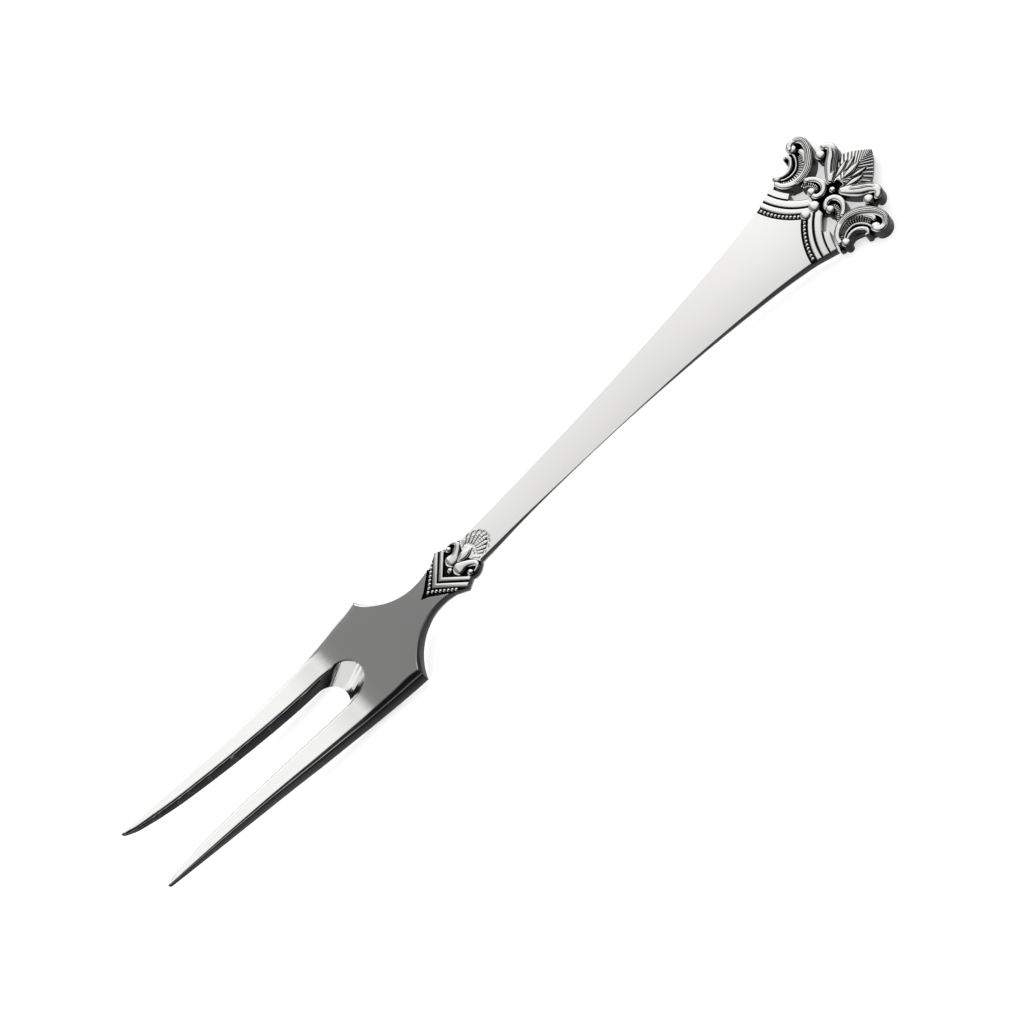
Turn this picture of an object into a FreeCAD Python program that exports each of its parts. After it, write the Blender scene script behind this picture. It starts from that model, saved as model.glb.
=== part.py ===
import FreeCAD, Part
import math
import os

V = FreeCAD.Vector

# Lengths along the fork, in mm, from the tine tips to the point of the leaf
TINE_LENGTH = 45.3
SHOULDER_LENGTH = 6.2
NECK_LENGTH = 9.5
CARVED_LENGTH = 9.7
HANDLE_LENGTH = 73.3
CROWN_LENGTH = 16.0

# Half widths
TIP_HALF = 6.56
SHOULDER_HALF = 9.4
NECK_HALF = 2.7
PEAK_HALF = 4.35
NOTCH_HALF = 3.45
LOBE_HALF = 3.6
HANDLE_START_HALF = 2.5
HANDLE_END_HALF = 8.0
SLOT_HALF = 3.35

# Thickness and heights above the table
TIP_RISE = 6.9
TIP_THICKNESS = 0.9
HEEL_THICKNESS = 2.75
SHOULDER_RISE = 0.3
SHOULDER_THICKNESS = 2.8
NECK_RISE = 1.75
NECK_THICKNESS = 1.9
HANDLE_END_RISE = 0.2
HANDLE_END_THICKNESS = 2.6
SLOT_RAMP = 4.6
SLOT_STRAIGHT = 3.0
HEEL_SETBACK = 4.5

# Rounding of the edges
TIP_ROUND = 0.3
ROOT_ROUND = 0.9
NECK_EASING = 0.2
TINE_EASING = 0.3
BACK_EASING = 0.5
NECK_EASED = 3.2

# Beads and carving
BEAD_RADIUS = 0.27
BEAD_HEIGHT = 0.42
BEAD_TOP_RADIUS = 0.12
CARVING_DEPTH = 0.45
GROOVE_DEPTH = 0.3
NECK_BEADS = 8
NECK_BEAD_PITCH = 0.7
NECK_SLANT = 0.95
CROWN_BEADS = 11
CROWN_BEAD_PITCH = 0.66
FIRST_BEAD_ANGLE = 45.0
RAY_DEPTH = 0.15
RAY_WIDTH = 0.12
RIBS = 11
RIB_WIDTH = 0.26
RIB_INNER_ARC = 2.5
RIB_OUTER_ARC = 3.4
RIB_FIRST_ANGLE = 218.0
RIB_SWEEP = 120.0

# Heights in the pierced crown
CROWN_FLOOR = 1.35
STRAND_CREST = 2.6
STRAND_SLOPE = 0.28
LEAF_RIDGE = 2.5
LEAF_EDGE = 1.85
RIB_TOP = 2.0
CENTRE_BEAD_TOP = 2.95

# Stations, with the origin under the middle of the whole length
OVERALL = TINE_LENGTH + SHOULDER_LENGTH + NECK_LENGTH + CARVED_LENGTH + HANDLE_LENGTH + CROWN_LENGTH
X_TIP = -OVERALL / 2
X_SLOT = X_TIP + TINE_LENGTH
X_SHOULDER = X_SLOT + SHOULDER_LENGTH
X_NECK = X_SHOULDER + NECK_LENGTH
X_HANDLE = X_NECK + CARVED_LENGTH
X_CROWN = X_HANDLE + HANDLE_LENGTH
X_LEAF = X_CROWN + CROWN_LENGTH

# The chevrons of the crown are arcs about two points beside it
ARC_U = 9.65
ARC_V = 10.08
BEAD_ARC = 13.2
CHANNEL_OUTER = 13.8
CHANNEL_INNER = 12.65
GROOVE_ARC = 11.8
EDGE_ARC = 10.35
BAND_END_ARC = 9.2
GROOVE_WIDTH = 0.32

FAR = 30.0
CLEAR = 1.0


def crown(u, v, z=0.0):
    """Place in the crown, measured from the handle's end."""
    return V(X_CROWN + u, v, z)


def neck(u, v, z=0.0):
    """Place on the neck, measured from its narrowest point."""
    return V(X_NECK + u, v, z)


def curve(points):
    """Smooth line through points."""
    line = Part.BSplineCurve()
    line.interpolate(points)
    return line


def arc(start, middle, end):
    """Circular edge through three points."""
    return Part.Arc(start, middle, end).toShape()


def mirrored(shape):
    """Copy of a shape on the other side of the fork."""
    return shape.mirror(V(0, 0, 0), V(0, 1, 0))


def both(shapes):
    """Shapes of one side, with their copies on the other."""
    return shapes + [mirrored(shape) for shape in shapes]


def prism(edges, low, high):
    """Upright solid between two heights over a closed outline drawn at height zero."""
    wire = Part.Wire(Part.__sortEdges__(edges))
    solid = Part.Face(wire).extrude(V(0, 0, high - low))
    solid.translate(V(0, 0, low))
    return solid


def polygon(points):
    """Straight edges of a closed outline."""
    return Part.makePolygon(points + [points[0]]).Edges


# Body: plan outline met by the side profile

def tine_fall(share):
    """Height of the tine's underside, for a share of its run from 0 at the tip to 1 at the heel."""
    return TIP_RISE * (1 - share) ** 1.5


def tine_thickness(share):
    """Thickness of the tine, for the same share of its run."""
    return HEEL_THICKNESS - (HEEL_THICKNESS - TIP_THICKNESS) * (1 - share) ** 3


def neck_arc(x):
    """Point of the hollow between shoulder and neck, a circle through the shoulder corner."""
    run = NECK_LENGTH
    rise = SHOULDER_HALF - NECK_HALF
    radius = (run * run + rise * rise) / (2 * rise)
    return V(x, NECK_HALF + radius - math.sqrt(radius * radius - (x - X_NECK) ** 2), 0)


def long_side():
    """Edges of the +Y side of the blank, which runs on past the tips and the handle's end."""
    tine = [V(X_TIP - CLEAR, TIP_HALF, 0)]
    for share, part in ((0.38, 0.07), (0.67, 0.28), (0.97, 0.72)):
        tine.append(V(X_TIP + share * TINE_LENGTH, TIP_HALF + part * (SHOULDER_HALF - TIP_HALF), 0))
    tine.append(V(X_SHOULDER, SHOULDER_HALF, 0))
    hollow_end = neck_arc(X_NECK + NECK_EASED)
    peak = neck(5.1, PEAK_HALF)
    notch = neck(6.7, NOTCH_HALF)
    start = V(X_HANDLE, HANDLE_START_HALF, 0)
    handle = [start]
    flare = HANDLE_END_HALF - HANDLE_START_HALF
    for share, part in ((0.2, 0.02), (0.45, 0.145), (0.71, 0.4), (0.9, 0.7), (1.0, 1.0), (1.04, 1.15)):
        handle.append(V(X_HANDLE + share * HANDLE_LENGTH, HANDLE_START_HALF + part * flare, 0))
    return [
        curve(tine).toShape(),
        arc(tine[-1], neck_arc(X_SHOULDER + NECK_LENGTH / 2), V(X_NECK, NECK_HALF, 0)),
        arc(V(X_NECK, NECK_HALF, 0), neck_arc(X_NECK + NECK_EASED / 2), hollow_end),
        Part.makeLine(hollow_end, peak),
        Part.makeLine(peak, notch),
        arc(notch, neck(7.9, LOBE_HALF), start),
        curve(handle).toShape(),
    ]


def plan_block():
    """The fork's outline, pulled straight up."""
    side = long_side()
    head = side[0].firstVertex().Point
    tail = side[-1].lastVertex().Point
    edges = both(side)
    edges.append(Part.makeLine(head, V(head.x, -head.y, 0)))
    edges.append(Part.makeLine(tail, V(tail.x, -tail.y, 0)))
    return prism(edges, -CLEAR, TIP_RISE + 3 * CLEAR)


def on_arc(radius, v):
    """Point at side distance v of a chevron arc in the crown."""
    return crown(ARC_U - math.sqrt(radius ** 2 - (ARC_V - v) ** 2), v)


def end_cutter():
    """What comes off the end of the handle, where the pierced work begins."""
    outer = on_arc(BAND_END_ARC, HANDLE_END_HALF + 0.25)
    step = on_arc(BAND_END_ARC, 4.95)
    corner = on_arc(EDGE_ARC, 4.3)
    inner = on_arc(EDGE_ARC, 1.9)
    past = X_CROWN + 2 * CROWN_LENGTH
    half = [
        Part.makeLine(V(past, FAR, 0), V(outer.x, FAR, 0)),
        Part.makeLine(V(outer.x, FAR, 0), outer),
        arc(outer, on_arc(BAND_END_ARC, 6.5), step),
        Part.makeLine(step, corner),
        arc(corner, on_arc(EDGE_ARC, 3.1), inner),
        Part.makeLine(inner, V(inner.x, 0, 0)),
    ]
    edges = both(half)
    edges.append(Part.makeLine(V(past, FAR, 0), V(past, -FAR, 0)))
    return prism(edges, -2 * CLEAR, TIP_RISE + 3 * CLEAR)


def side_block():
    """The fork's side profile, drawn as underside and top curves and pulled across the width."""
    low = []
    high = []
    for share in (-0.05, 0.2, 0.45, 0.72, 1.0):
        x = X_TIP + share * (TINE_LENGTH - HEEL_SETBACK)
        low.append(V(x, 0, tine_fall(share)))
        high.append(V(x, 0, low[-1].z + tine_thickness(share)))
    stations = (
        (X_SLOT + 1.0, -0.05, HEEL_THICKNESS),
        (X_SHOULDER, SHOULDER_RISE, SHOULDER_THICKNESS),
        (X_NECK - 2.0, NECK_RISE - 0.2, NECK_THICKNESS + 0.1),
        (X_NECK + 1.0, NECK_RISE, NECK_THICKNESS),
        (X_HANDLE + 5.0, NECK_RISE + 0.05, NECK_THICKNESS),
        (X_HANDLE + 0.33 * HANDLE_LENGTH, NECK_RISE - 0.15, NECK_THICKNESS),
        (X_HANDLE + 0.6 * HANDLE_LENGTH, NECK_RISE - 0.6, NECK_THICKNESS + 0.3),
        (X_HANDLE + 0.85 * HANDLE_LENGTH, HANDLE_END_RISE + 0.5, HANDLE_END_THICKNESS - 0.2),
        (X_CROWN, HANDLE_END_RISE, HANDLE_END_THICKNESS),
        (X_CROWN + 5.0, -0.05, HANDLE_END_THICKNESS + 0.1),
    )
    for x, rise, thickness in stations:
        low.append(V(x, 0, rise))
        high.append(V(x, 0, rise + thickness))
    edges = [
        curve(low).toShape(),
        curve(high).toShape(),
        Part.makeLine(low[0], high[0]),
        Part.makeLine(low[-1], high[-1]),
    ]
    face = Part.Face(Part.Wire(Part.__sortEdges__(edges)))
    block = face.extrude(V(0, 2 * FAR, 0))
    block.translate(V(0, -FAR, 0))
    return block


def long_edges(body, start, end, top):
    """Lengthwise edges of the body between two stations, on its top or its underside."""
    found = []
    for edge in body.Edges:
        box = edge.BoundBox
        if box.XMin < start - 0.1 or box.XMax > end + 0.1 or box.XLength < 0.5:
            continue
        middle = edge.valueAt((edge.FirstParameter + edge.LastParameter) / 2)
        plumb = Part.makeLine(V(middle.x, 0.9 * middle.y, -FAR), V(middle.x, 0.9 * middle.y, FAR))
        inside = plumb.common(body).BoundBox
        if (middle.z > inside.Center.z) == top:
            found.append(edge)
    return found


def round_tine(body, side):
    """Rounds the outer top edge of one tine, more and more from the tip to the shoulder."""
    edges = long_edges(body, X_TIP - CLEAR, X_SHOULDER, True)
    edge = [found for found in edges if found.CenterOfMass.y * side > 0][0]
    from_tip = edge.valueAt(edge.FirstParameter).x < edge.valueAt(edge.LastParameter).x
    radii = (TIP_ROUND, ROOT_ROUND) if from_tip else (ROOT_ROUND, TIP_ROUND)
    return body.makeFillet(radii[0], radii[1], [edge])


def eased_body():
    """Outline met by the profile, with its long edges rounded or eased."""
    body = plan_block().common(side_block()).Solids[0]
    handle_end = X_CROWN + 4.0
    body = body.makeChamfer(BACK_EASING, long_edges(body, X_HANDLE, handle_end, False))
    for side in (1, -1):
        body = round_tine(body, side)
    body = body.makeChamfer(TINE_EASING, long_edges(body, X_TIP - CLEAR, X_SHOULDER, False))
    return body.makeChamfer(NECK_EASING, long_edges(body, X_SHOULDER, X_NECK + NECK_EASED, True))


# Slot between the tines

def slot_cutter():
    """Gap between the tines, with a root that slopes down towards the tips."""
    root = X_SLOT - SLOT_HALF
    foot = root - SLOT_RAMP
    nose = V(X_TIP + 0.25, TIP_HALF - 0.42, 0)
    cheek = V(X_TIP + 0.2, TIP_HALF, 0)
    inner = [V(foot - SLOT_STRAIGHT, SLOT_HALF, 0)]
    for share, wider in ((0.53, 0.27), (0.33, 0.61), (0.19, 1.05), (0.088, 1.65), (0.03, 2.2)):
        inner.append(V(X_TIP + share * TINE_LENGTH, SLOT_HALF + wider, 0))
    inner.append(nose)
    outside = V(cheek.x, TIP_HALF + CLEAR, 0)
    ahead = V(X_TIP - 2 * CLEAR, TIP_HALF + CLEAR, 0)
    side = [
        Part.makeLine(V(foot, SLOT_HALF, 0), inner[0]),
        curve(inner).toShape(),
        arc(nose, V(X_TIP, TIP_HALF - 0.2, 0), cheek),
        Part.makeLine(cheek, outside),
        Part.makeLine(outside, ahead),
    ]
    edges = both(side)
    edges.append(Part.makeLine(ahead, V(ahead.x, -ahead.y, 0)))
    edges.append(arc(V(foot, SLOT_HALF, 0), V(foot + SLOT_HALF, 0, 0), V(foot, -SLOT_HALF, 0)))
    upright = prism(edges, -2 * CLEAR, TIP_RISE + 3 * CLEAR)
    back = root - 2 * CLEAR
    mouth = [
        arc(V(root, SLOT_HALF, 0), V(X_SLOT, 0, 0), V(root, -SLOT_HALF, 0)),
        Part.makeLine(V(root, -SLOT_HALF, 0), V(back, -SLOT_HALF, 0)),
        Part.makeLine(V(back, -SLOT_HALF, 0), V(back, SLOT_HALF, 0)),
        Part.makeLine(V(back, SLOT_HALF, 0), V(root, SLOT_HALF, 0)),
    ]
    face = Part.Face(Part.Wire(Part.__sortEdges__(mouth)))
    slope = V(SLOT_RAMP / HEEL_THICKNESS, 0, 1)
    above = face.extrude(slope * (2 * CLEAR))
    below = face.extrude(slope * -(HEEL_THICKNESS + CLEAR))
    ramp = above.fuse(below)
    ramp.translate(V(0, 0, HEEL_THICKNESS))
    return [upright, ramp]


# Carving on the neck

def neck_top():
    """Height of the plain surface that the neck's carving is cut down from."""
    return NECK_RISE + NECK_THICKNESS + 0.05


def turned(place, sides, tiers):
    """Small upright boss of flat facets, from tiers of radius and height."""
    wires = []
    for radius, height in tiers:
        corners = []
        for index in range(sides + 1):
            angle = 2 * math.pi * index / sides
            corners.append(place + V(radius * math.cos(angle), radius * math.sin(angle), height))
        wires.append(Part.makePolygon(corners))
    return Part.makeLoft(wires, True, True)


def bead(place, floor):
    """Small struck bead standing on a carved floor."""
    top = floor + BEAD_HEIGHT
    tiers = [(BEAD_RADIUS, floor - 0.2), (BEAD_RADIUS, floor + 0.15), (BEAD_TOP_RADIUS, top)]
    return turned(place, 8, tiers)


def chevron_line(start, v):
    """Point of a neck chevron at side distance v, for the line that starts at the given place."""
    return neck(start + NECK_SLANT * v, v)


def chevron_groove(outer, inner, depth):
    """Groove of the neck between two parallel chevron lines."""
    reach = PEAK_HALF + CLEAR
    half = [chevron_line(outer, reach), chevron_line(inner, reach)]
    points = [neck(outer, 0), half[0], half[1], neck(inner, 0)]
    points += [V(point.x, -point.y, 0) for point in (half[1], half[0])]
    return prism(polygon(points), neck_top() - depth, neck_top() + CLEAR)


def neck_cuts():
    """Bead channel, the groove between the two bands, and the sunk field behind them."""
    channel = [neck(-1.5, 0), neck(-0.4, 0.6), neck(3.6, 3.85), neck(5.0, 5.3)]
    end = chevron_line(1.0, 5.3)
    lower = [V(point.x, -point.y, 0) for point in reversed(channel[1:])]
    points = channel + [end, neck(1.0, 0), V(end.x, -end.y, 0)] + lower
    cuts = [prism(polygon(points), neck_top() - CARVING_DEPTH, neck_top() + CLEAR)]
    cuts.append(chevron_groove(2.05, 2.5, GROOVE_DEPTH))
    field = [neck(3.4, 0), neck(7.3, 4.1), neck(9.3, 4.1), neck(9.3, 2.6), neck(8.0, 0)]
    field += [V(point.x, -point.y, 0) for point in reversed(field[1:4])]
    cuts.append(prism(polygon(field), neck_top() - CARVING_DEPTH, neck_top() + CLEAR))
    return cuts


def neck_beads():
    """Beads that run out from the middle along both arms of the channel."""
    floor = neck_top() - CARVING_DEPTH
    beads = [bead(neck(0.1, 0), floor)]
    along = 0.73 * NECK_BEAD_PITCH
    across = 0.67 * NECK_BEAD_PITCH
    for index in range(NECK_BEADS):
        beads += both([bead(neck(0.7 + index * along, 0.45 + index * across), floor)])
    beads.append(bead(neck(4.9, 0), floor))
    return beads


def section(place, along, width, crest, low):
    """Cross-section of a raised strand: upright sides, sloping shoulders and a narrow back."""
    across = V(-along.y, along.x, 0).normalize() * (width / 2)
    shoulder = crest - STRAND_SLOPE * width
    corners = [
        place - across + V(0, 0, low),
        place - across + V(0, 0, shoulder),
        place - across * 0.4 + V(0, 0, crest),
        place + across * 0.4 + V(0, 0, crest),
        place + across + V(0, 0, shoulder),
        place + across + V(0, 0, low),
    ]
    return Part.makePolygon(corners + [corners[0]])


def strand(stations, steps, crest=STRAND_CREST, low=-CLEAR):
    """Raised scroll line through places with a width at each, in a number of straight steps."""
    line = curve([V(place.x, place.y, width) for place, width in stations])
    wires = []
    for index in range(steps + 1):
        share = line.FirstParameter + (line.LastParameter - line.FirstParameter) * index / steps
        point = line.value(share)
        along = line.tangent(share)[0]
        wires.append(section(V(point.x, point.y, 0), V(along.x, along.y, 0), point.z, crest, low))
    return Part.makeLoft(wires, True, True)


def stud(place, radius, low, top):
    """Round boss with a domed end."""
    tiers = [(radius, low), (radius, top - 0.45 * radius), (0.75 * radius, top - 0.12 * radius)]
    return turned(place, 12, tiers + [(0.35 * radius, top)])


def almond(start, end, half, low, top):
    """Pointed leaflet between two places."""
    middle = (start + end) * 0.5
    along = end - start
    across = V(-along.y, along.x, 0).normalize() * half
    edges = [arc(start, middle + across, end), arc(start, middle - across, end)]
    return prism(edges, low, top)


def neck_leaves():
    """Petals, curls and the middle leaf that rise from the neck's sunk field."""
    top = neck_top()
    low = top - 2 * CARVING_DEPTH
    petal = strand(
        [(neck(5.4, 0.7), 0.8), (neck(6.4, 1.1), 1.4), (neck(7.6, 1.5), 1.4), (neck(9.3, 2.25), 1.1)],
        6, top + 0.12, low)
    curl = strand(
        [(neck(6.9, 2.2), 0.5), (neck(7.9, 2.25), 0.5), (neck(8.5, 2.75), 0.5), (neck(8.3, 3.35), 0.4)],
        8, top + 0.05, low)
    boss = stud(neck(7.4, 3.0), 0.42, low, top + 0.05)
    leaves = both([petal, curl, boss])
    leaves.append(almond(neck(7.2, 0), neck(10.1, 0), 0.8, low, top + 0.15))
    return leaves


def ray(place, angle, length, width, floor):
    """Thin pointed cut, as a graver leaves it, from a place outwards."""
    solid = prism(
        polygon([V(0, 0, 0), V(length * 0.5, width, 0), V(length, 0, 0), V(length * 0.5, -width, 0)]),
        floor, floor + CLEAR)
    solid.rotate(V(0, 0, 0), V(0, 0, 1), angle)
    solid.translate(place)
    return solid


def neck_rays():
    """Fan of cuts that runs out from the middle leaf on to the handle."""
    floor = neck_top() - RAY_DEPTH
    rays = []
    for angle, start, length in ((12, 0.6, 2.6), (35, 0.5, 2.3), (62, 0.4, 1.8)):
        turn = math.radians(angle)
        foot = neck(10.0 + start * math.cos(turn), 0.15 + start * math.sin(turn))
        rays += both([ray(foot, angle, length, RAY_WIDTH, floor)])
    return rays


# Chevrons at the end of the handle

def crown_top():
    """Height of the handle's top where the chevrons are cut."""
    return HANDLE_END_RISE + HANDLE_END_THICKNESS - 0.05


def band_groove(outer, inner, low_v, high_v, depth):
    """Groove between two chevron arcs, cut down from the plate's top."""
    edges = [
        arc(on_arc(outer, low_v), on_arc(outer, (low_v + high_v) / 2), on_arc(outer, high_v)),
        arc(on_arc(inner, low_v), on_arc(inner, (low_v + high_v) / 2), on_arc(inner, high_v)),
        Part.makeLine(on_arc(outer, low_v), on_arc(inner, low_v)),
        Part.makeLine(on_arc(outer, high_v), on_arc(inner, high_v)),
    ]
    return prism(edges, crown_top() - depth, crown_top() + 2 * CLEAR)


def crown_cuts():
    """Bead channel and the grooves that part the chevron bands."""
    side = HANDLE_END_HALF + 0.8
    cuts = [band_groove(CHANNEL_OUTER, CHANNEL_INNER, 0, side, CARVING_DEPTH)]
    cuts.append(band_groove(GROOVE_ARC, GROOVE_ARC - GROOVE_WIDTH, 0, side, GROOVE_DEPTH))
    cuts.append(band_groove(EDGE_ARC + 0.1, EDGE_ARC - GROOVE_WIDTH, 4.0, side, GROOVE_DEPTH))
    return both(cuts)


def crown_beads():
    """Beads along both arms of the crown's channel."""
    beads = []
    start = math.radians(FIRST_BEAD_ANGLE)
    for index in range(CROWN_BEADS):
        angle = start - index * CROWN_BEAD_PITCH / BEAD_ARC
        place = crown(ARC_U - BEAD_ARC * math.cos(angle), ARC_V - BEAD_ARC * math.sin(angle))
        beads += both([bead(place, crown_top() - CARVING_DEPTH)])
    return beads


# Pierced crown of scrolls

def crown_floor():
    """Sunk ground between the scrolls, one side."""
    scroll = [
        Part.makeLine(crown(0.9, 8.35), crown(1.4, 8.6)),
        arc(crown(1.4, 8.6), crown(3.4, 8.05), crown(5.3, 8.9)),
        Part.makeLine(crown(5.3, 8.9), crown(7.4, 11.0)),
        Part.makeLine(crown(7.4, 11.0), crown(9.4, 11.2)),
        arc(crown(9.4, 11.2), crown(9.6, 8.4), crown(7.6, 6.2)),
        Part.makeLine(crown(7.6, 6.2), crown(5.8, 5.2)),
        Part.makeLine(crown(5.8, 5.2), crown(2.6, 5.2)),
        Part.makeLine(crown(2.6, 5.2), crown(0.9, 8.35)),
    ]
    hook = polygon([crown(8.4, 10.15), crown(9.45, 10.25), crown(9.5, 9.3)])
    volute = polygon([
        crown(2.8, 0), crown(2.8, 1.4), crown(3.7, 1.7), crown(4.5, 3.3), crown(4.1, 5.3),
        crown(6.0, 5.3), crown(6.7, 3.4), crown(6.9, 2.2), crown(8.3, 1.0), crown(10.2, 0),
    ])
    curl = polygon([crown(9.0, 5.6), crown(9.4, 6.6), crown(11.5, 6.6), crown(11.9, 4.6), crown(10.2, 4.4)])
    floor = prism(scroll, -CLEAR, CROWN_FLOOR).cut(prism(hook, -2 * CLEAR, CROWN_FLOOR + CLEAR))
    return [floor, prism(volute, -CLEAR, CROWN_FLOOR), prism(curl, -CLEAR, CROWN_FLOOR)]


def crescent():
    """Broad C of the outer scroll, running on into the hook at the crown's corner."""
    return strand([
        (crown(1.9, 8.3), 0.9), (crown(2.2, 6.95), 1.0), (crown(3.3, 5.85), 1.15),
        (crown(5.1, 5.45), 1.25), (crown(7.0, 6.0), 1.5), (crown(8.5, 7.2), 1.6),
        (crown(9.6, 8.7), 1.2), (crown(9.9, 10.1), 0.95), (crown(9.2, 11.3), 0.95),
        (crown(8.1, 11.4), 0.95), (crown(7.5, 10.6), 0.9),
    ], 22)


def crescent_ribs():
    """Short ribs that fan out across the hollow of the crescent."""
    length = RIB_OUTER_ARC - RIB_INNER_ARC
    height = RIB_TOP - CROWN_FLOOR + CLEAR
    ribs = []
    for index in range(RIBS):
        rib = Part.makeBox(length, RIB_WIDTH, height, V(RIB_INNER_ARC, -RIB_WIDTH / 2, CROWN_FLOOR - CLEAR))
        rib.rotate(V(0, 0, 0), V(0, 0, 1), RIB_FIRST_ANGLE + RIB_SWEEP * index / (RIBS - 1))
        rib.translate(crown(5.1, 9.4))
        ribs.append(rib)
    return ribs


def inner_scroll():
    """Small scroll that lines the inside of the crescent."""
    return strand([
        (crown(2.5, 8.5), 0.5), (crown(3.6, 8.05), 0.6), (crown(5.0, 8.2), 0.7),
        (crown(6.05, 9.0), 0.7), (crown(6.25, 9.9), 0.6),
    ], 8, 2.3)


def volute():
    """Rim of the S scroll beside the middle beads."""
    return strand([
        (crown(4.25, 1.85), 0.5), (crown(4.55, 1.1), 0.6), (crown(5.35, 0.75), 0.6),
        (crown(6.25, 1.05), 0.6), (crown(6.7, 2.0), 0.6), (crown(6.6, 3.1), 0.65),
        (crown(5.9, 4.1), 0.7), (crown(4.8, 4.8), 0.8),
    ], 16)


def branch():
    """Broad outer petal of the leaf, sweeping out and curling back to a ball."""
    return strand([
        (crown(7.8, 1.4), 1.0), (crown(8.75, 2.55), 1.6), (crown(10.2, 3.85), 2.0),
        (crown(11.5, 4.9), 1.6), (crown(11.8, 5.95), 1.15), (crown(11.1, 6.6), 0.9),
        (crown(10.3, 6.45), 0.7),
    ], 16)


def leaf():
    """Leaf finial with a low roof over its middle rib."""
    half = [
        Part.makeLine(crown(9.9, 0), crown(7.9, 0.7)),
        Part.makeLine(crown(7.9, 0.7), crown(8.3, 1.6)),
        Part.makeLine(crown(8.3, 1.6), crown(12.7, 3.4)),
        curve([crown(12.7, 3.4), crown(13.8, 2.7), crown(15.1, 1.5), V(X_LEAF, 0, 0)]).toShape(),
    ]
    edges = both(half)
    blade = prism(edges, -CLEAR, LEAF_RIDGE + CLEAR)
    start = X_CROWN + 7.0
    end = X_LEAF + CLEAR
    roof = Part.makePolygon([
        V(start, -4, LEAF_EDGE), V(start, 0, LEAF_RIDGE), V(start, 4, LEAF_EDGE),
        V(start, 4, -CLEAR), V(start, -4, -CLEAR), V(start, -4, LEAF_EDGE),
    ])
    return blade.common(Part.Face(roof).extrude(V(end - start, 0, 0)))


def leaf_rays():
    """Veins cut into the leaf, slanting out from its middle rib."""
    rays = []
    for index in range(5):
        foot = crown(10.6 + 0.85 * index, 0.55)
        rays += both([ray(foot, 42 - 4 * index, 3.4 - 0.3 * index, RAY_WIDTH, LEAF_EDGE - RAY_DEPTH)])
    return rays


def leaflets():
    """Pointed leaflets on the leaf: one over its middle rib and one each side."""
    side = almond(crown(8.6, 1.3), crown(11.5, 2.0), 0.35, 0, LEAF_RIDGE)
    return both([side]) + [almond(crown(9.9, 0), crown(13.2, 0), 0.45, 0, LEAF_RIDGE + 0.2)]


def crown_studs():
    """Balls at the ends of the scrolls, and the three beads on the middle line."""
    low = -CLEAR
    balls = both([
        stud(crown(2.4, 8.5), 0.5, low, STRAND_CREST),
        stud(crown(4.5, 2.3), 0.5, low, STRAND_CREST),
        stud(crown(9.75, 5.85), 0.65, low, STRAND_CREST),
        stud(crown(7.5, 10.55), 0.7, low, STRAND_CREST),
        stud(crown(8.15, 8.5), 0.5, low, STRAND_CREST - 0.1),
    ])
    balls.append(stud(crown(1.25, 0), 0.8, 1.0, CENTRE_BEAD_TOP))
    balls.append(stud(crown(3.15, 0), 0.87, low, CENTRE_BEAD_TOP))
    balls.append(stud(crown(7.1, 0), 0.45, low, 2.3))
    return balls


def fork():
    """The whole fork as one solid, standing on the table."""
    body = eased_body().cut(slot_cutter() + [end_cutter()])
    body = body.cut(neck_cuts() + neck_rays() + crown_cuts())
    body = body.fuse(neck_beads() + neck_leaves())
    lace = both(crown_floor() + crescent_ribs() + [crescent(), inner_scroll(), volute(), branch()])
    lace += [leaf().cut(leaf_rays())] + leaflets() + crown_studs()
    whole = body.fuse(crown_beads() + lace)
    ground = Part.makeBox(OVERALL + FAR, FAR, FAR, V(X_TIP - CLEAR, -FAR / 2, 0))
    return whole.common(ground).Solids[0]


os.makedirs("parts", exist_ok=True)
part = fork()
print(part.isValid(), len(part.Solids), part.Volume, len(part.Faces), part.BoundBox)
part.exportStep("parts/cold_meat_fork.step")
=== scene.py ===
"""Looks of a silver cold meat fork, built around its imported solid, on a pale floor under soft light.

Shapes are worked out in millimetres: x from the tine tips towards the crown, y from the middle plane
and z from the table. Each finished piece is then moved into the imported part's frame, in metres.
"""

import logging
import math
from collections.abc import Callable, Iterable, Sequence
from dataclasses import dataclass, field
from enum import Enum

import bmesh
import bpy
from mathutils import Matrix, Vector


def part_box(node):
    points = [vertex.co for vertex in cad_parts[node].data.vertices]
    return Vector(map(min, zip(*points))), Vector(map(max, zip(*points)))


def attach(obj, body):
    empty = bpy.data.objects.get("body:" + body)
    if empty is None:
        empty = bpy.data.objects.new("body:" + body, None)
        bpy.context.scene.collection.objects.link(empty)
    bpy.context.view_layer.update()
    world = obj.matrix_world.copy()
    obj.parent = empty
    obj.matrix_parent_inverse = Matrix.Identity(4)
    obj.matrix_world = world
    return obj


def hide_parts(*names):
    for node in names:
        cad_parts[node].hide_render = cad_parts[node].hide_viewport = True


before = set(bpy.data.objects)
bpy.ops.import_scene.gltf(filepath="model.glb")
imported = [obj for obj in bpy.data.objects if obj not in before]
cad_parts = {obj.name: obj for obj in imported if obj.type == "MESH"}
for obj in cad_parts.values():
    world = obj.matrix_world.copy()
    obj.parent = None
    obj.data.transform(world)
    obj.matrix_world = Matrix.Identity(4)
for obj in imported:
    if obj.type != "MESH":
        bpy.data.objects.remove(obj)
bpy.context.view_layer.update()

LOG = logging.getLogger("cold_meat_fork")
NODE = "cold_meat_fork"
BODY = "root"
# Per-point darkness: patina in hollows, painted shade on low sides and in rib gaps, and below 0 a painted
# paler reflection
PATINA_AND_PAINTED_LIGHT = "patina_and_painted_light"

LENGTH = 160.0
FRONT_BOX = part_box(NODE)
UNIT = (FRONT_BOX[1].x - FRONT_BOX[0].x) / LENGTH

Place = tuple[float, float]
Rings = list[list[Vector]]
Feed = bpy.types.NodeSocket | float | Sequence[float]

# Slant of the neck's chevrons, and how far along the middle from the neck their carving changes
NECK_SLANT = 0.95
NECK_CHANNEL_END = 1.0
NECK_GROOVE = (2.08, 2.48)
NECK_FIELD = 3.4

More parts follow.
